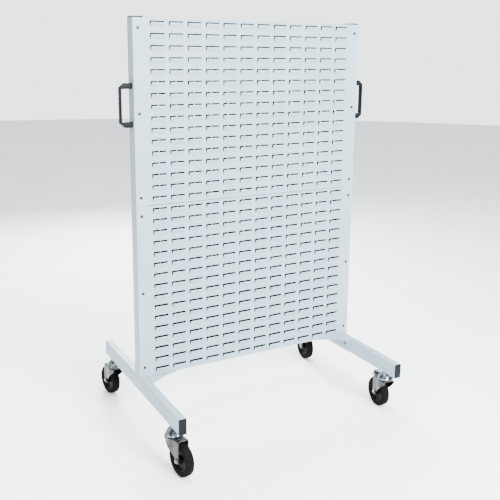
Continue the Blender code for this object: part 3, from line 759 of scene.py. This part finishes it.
def fork_skin(brake):
    """The middle of the fork's sheet, as rows from one axle eye over the crown to the other."""
    leg = []
    for degrees in (12, 34, 58, 80):
        angle = math.radians(degrees)
        reach = FORK_END_RADIUS * math.sin(angle)
        leg.append((AXLE_LEVEL - FORK_END_RADIUS * math.cos(angle), TRAIL - reach, TRAIL + reach, 0.0))
    start = (AXLE_LEVEL + 0.004, TRAIL - 0.0130, LEG_BACK)
    shoulder = (FORK_TOP - 0.0115, -CROWN_FRONT, LEG_BACK)
    for step in range(10):
        s = step / 9
        leg.append(tuple(start[i] + s * (shoulder[i] - start[i]) for i in range(3)) + (min(1.0, 1.6 * s),))
    rows = [(-FORK_SKIN, z, u0, u1, flare) for z, u0, u1, flare in leg]
    back = CROWN_BACK[brake]
    for degrees in (0, 30, 60, 90):
        angle = math.radians(degrees)
        s = degrees / 90
        rows.append((
            -FORK_SKIN + FORK_BEND * (1 - math.cos(angle)), FORK_TOP - FORK_BEND * (1 - math.sin(angle)),
            -CROWN_FRONT + 0.0010 * s, LEG_BACK - 0.0010 + s * (back - LEG_BACK + 0.0010), 1.0 - s,
        ))
    rows.append((-0.0080, FORK_TOP, -CROWN_FRONT - 0.0010, back + 0.0006, 0.0))
    rows += [(-v, z, u0, u1, flare) for v, z, u0, u1, flare in reversed(rows)]
    columns = ((0.0, 1.0), (0.06, 0.45), (0.13, 0.0), (0.28, 0.0), (0.42, 0.0), (0.56, 0.0),
               (0.70, 0.0), (0.86, 0.0), (1.0, 0.0))
    bm = bmesh.new()
    before = None
    for v, z, u0, u1, flare in rows:
        side = math.copysign(1.0, v)
        line = []
        for share, lift in columns:
            u = u0 + share * (u1 - u0)
            swell = max(0.0, 1.0 - abs(u - 0.004) / 0.034)
            out = side * flare * (FORK_FLARE * lift + FORK_BULGE * swell * swell * (3 - 2 * swell))
            line.append(bm.verts.new((u, v + out, z)))
        if before:
            for index in range(len(columns) - 1):
                bm.faces.new([before[index], before[index + 1], line[index + 1], line[index]])
        before = line
    bmesh.ops.recalc_face_normals(bm, faces=bm.faces[:])
    if sum(face.normal.z * face.calc_area() for face in bm.faces) < 0:
        bmesh.ops.reverse_faces(bm, faces=bm.faces[:])
    mesh = bpy.data.meshes.new("fork_skin")
    bm.to_mesh(mesh)
    bm.free()
    return mesh


fork_meshes = {}
for brake in (False, True):
    fork_meshes[brake] = finished("pressed_fork", fork_skin(brake), (
        ("SOLIDIFY", {"thickness": FORK_SHEET, "offset": 0.0, "use_even_offset": True}),
        ("BEVEL", {"width": 0.0005, "segments": 2, "limit_method": "ANGLE", "angle_limit": math.radians(50)}),
    ))

# A hexagon bolt is the wheel's axle, with a washer and a hexagon nut outside the legs.
FORK_FACE = 0.0220
WASHER_RADIUS = 0.0085
WASHER_THICKNESS = 0.0012
HEX_RADIUS = 0.0078
HEX_END = 0.0053
AXLE_RADIUS = 0.0040


def round_bar(bm, radius, low, high, sides=24):
    """Add a plain closed cylinder along Z to a bmesh."""
    rings = []
    for z in (low, high):
        ring = []
        for index in range(sides):
            angle = math.tau * index / sides
            ring.append(bm.verts.new((radius * math.cos(angle), radius * math.sin(angle), z)))
        rings.append(ring)
    for index in range(sides):
        after = (index + 1) % sides
        bm.faces.new([rings[0][index], rings[0][after], rings[1][after], rings[1][index]])
    bm.faces.new(rings[0][::-1])
    bm.faces.new(rings[1])


def hexagon(name, radius, base, top, shank=None):
    """A hexagon head with rounded-off corners, from base to top along Z, and its washer."""
    bm = bmesh.new()
    levels = ((base + WASHER_THICKNESS, 1.0), (top - 0.0011, 1.0), (top, 0.86))
    rings = []
    for z, share in levels:
        ring = []
        for index in range(12):
            angle = math.radians(30 * index)
            reach = radius if index % 2 == 0 else radius * math.cos(math.radians(30))
            reach = min(reach, radius * share) if share < 1 else reach
            ring.append(bm.verts.new((reach * math.cos(angle), reach * math.sin(angle), z)))
        rings.append(ring)
    for low, high in zip(rings, rings[1:]):
        for index in range(12):
            after = (index + 1) % 12
            bm.faces.new([low[index], low[after], high[after], high[index]])
    bm.faces.new(rings[-1])
    bm.faces.new(rings[0][::-1])
    round_bar(bm, WASHER_RADIUS, base, base + WASHER_THICKNESS)
    if shank:
        round_bar(bm, AXLE_RADIUS, *shank)
    bmesh.ops.recalc_face_normals(bm, faces=bm.faces[:])
    mesh = bpy.data.meshes.new(name)
    bm.to_mesh(mesh)
    bm.free()
    mesh.shade_smooth()
    mesh.set_sharp_from_angle(angle=math.radians(25))
    return mesh


to_axle = Matrix.Translation((TRAIL, 0.0, AXLE_LEVEL)) @ Matrix.Rotation(math.radians(-90), 4, "X")
washer_seat = FORK_FACE + 0.0003
shank_ends = (-FORK_FACE - 0.0065, FORK_FACE + 0.001)
axle_mesh = hexagon("axle_bolt", HEX_RADIUS, washer_seat, FORK_FACE + HEX_END, shank_ends)
axle_mesh.transform(to_axle)
nut_mesh = hexagon("axle_nut", HEX_RADIUS, washer_seat, FORK_FACE + HEX_END)
nut_mesh.transform(to_axle @ Matrix.Rotation(math.pi, 4, "X"))

# The hub is moulded with a thin web between rim and boss. The tyre is pressed on it, and
# its tread is slightly crowned.
TYRE_HALF = 0.0160
TYRE_INNER = 0.0423
HUB_HALF = 0.0180
BOSS_RADIUS = 0.0130
WHEEL_SIDES = 72
wheel = AXLE_LEVEL
half_tyre = [
    (TYRE_INNER, 0.0), (TYRE_INNER, 0.0132), (TYRE_INNER + 0.0010, 0.0146), (TYRE_INNER + 0.0060, 0.0154),
    (wheel - 0.0080, TYRE_HALF), (wheel - 0.0045, 0.0156), (wheel - 0.0022, 0.0138), (wheel - 0.0009, 0.0105),
    (wheel - 0.0002, 0.0062), (wheel, 0.0),
]
tyre_profile = half_tyre + [(radius, -height) for radius, height in reversed(half_tyre[1:-1])]
tyre_mesh = turned("solid_tyre", tyre_profile, WHEEL_SIDES, ring=True, smooth=45.0)
half_hub = [
    (AXLE_RADIUS + 0.0004, HUB_HALF), (BOSS_RADIUS - 0.0012, HUB_HALF), (BOSS_RADIUS, HUB_HALF - 0.0012),
    (BOSS_RADIUS + 0.0008, 0.0085), (BOSS_RADIUS + 0.0030, 0.0062), (0.0310, 0.0058), (0.0352, 0.0070),
    (0.0378, 0.0118), (0.0400, 0.0131), (TYRE_INNER - 0.0003, 0.0131),
]
hub_profile = half_hub + [(radius, -height) for radius, height in reversed(half_hub)]
hub_mesh = turned("wheel_hub", hub_profile, WHEEL_SIDES, ring=True, smooth=40.0)
for mesh in (tyre_mesh, hub_mesh):
    mesh.transform(to_axle)

for corner in CORNERS:
    fork_body, wheel_body = f"{corner}_castor_fork", f"{corner}_castor_wheel"
    fork_mesh = fork_meshes[f"{corner}_castor_brake" in frame["bodies"]]
    for label, mesh, finish, body, node in (
        ("head_cup", head_mesh, zinc, "trolley_frame", "castor_head"),
        ("kingpin_rivet", kingpin_mesh, zinc, "trolley_frame", "kingpin"),
        ("race_ring", race_mesh, zinc, fork_body, "ball_race"),
        ("pressed_fork", fork_mesh, fork_zinc, fork_body, "fork"),
        ("axle_bolt", axle_mesh, zinc, fork_body, "axle"),
        ("hex_nut", nut_mesh, zinc, fork_body, "axle_nut"),
    ):
        piece(f"{corner}_{label}", on_castor(corner, mesh), finish, body, "zinc_plate", f"{corner}_{node}")
    for label, mesh, finish, slot, node in (
        ("wheel_hub", hub_mesh, hub_plastic, "hub_plastic", "hub"),
        ("solid_tyre", tyre_mesh, rubber, "tyre_rubber", "tyre"),
    ):
        piece(f"{corner}_{label}", on_castor(corner, mesh), finish, wheel_body, slot, f"{corner}_{node}")
for corner in ("front_right", "rear_right"):
    softened(f"{corner}_brake_lever", f"{corner}_brake_pedal", 0.0005, 2, zinc, "zinc_plate")
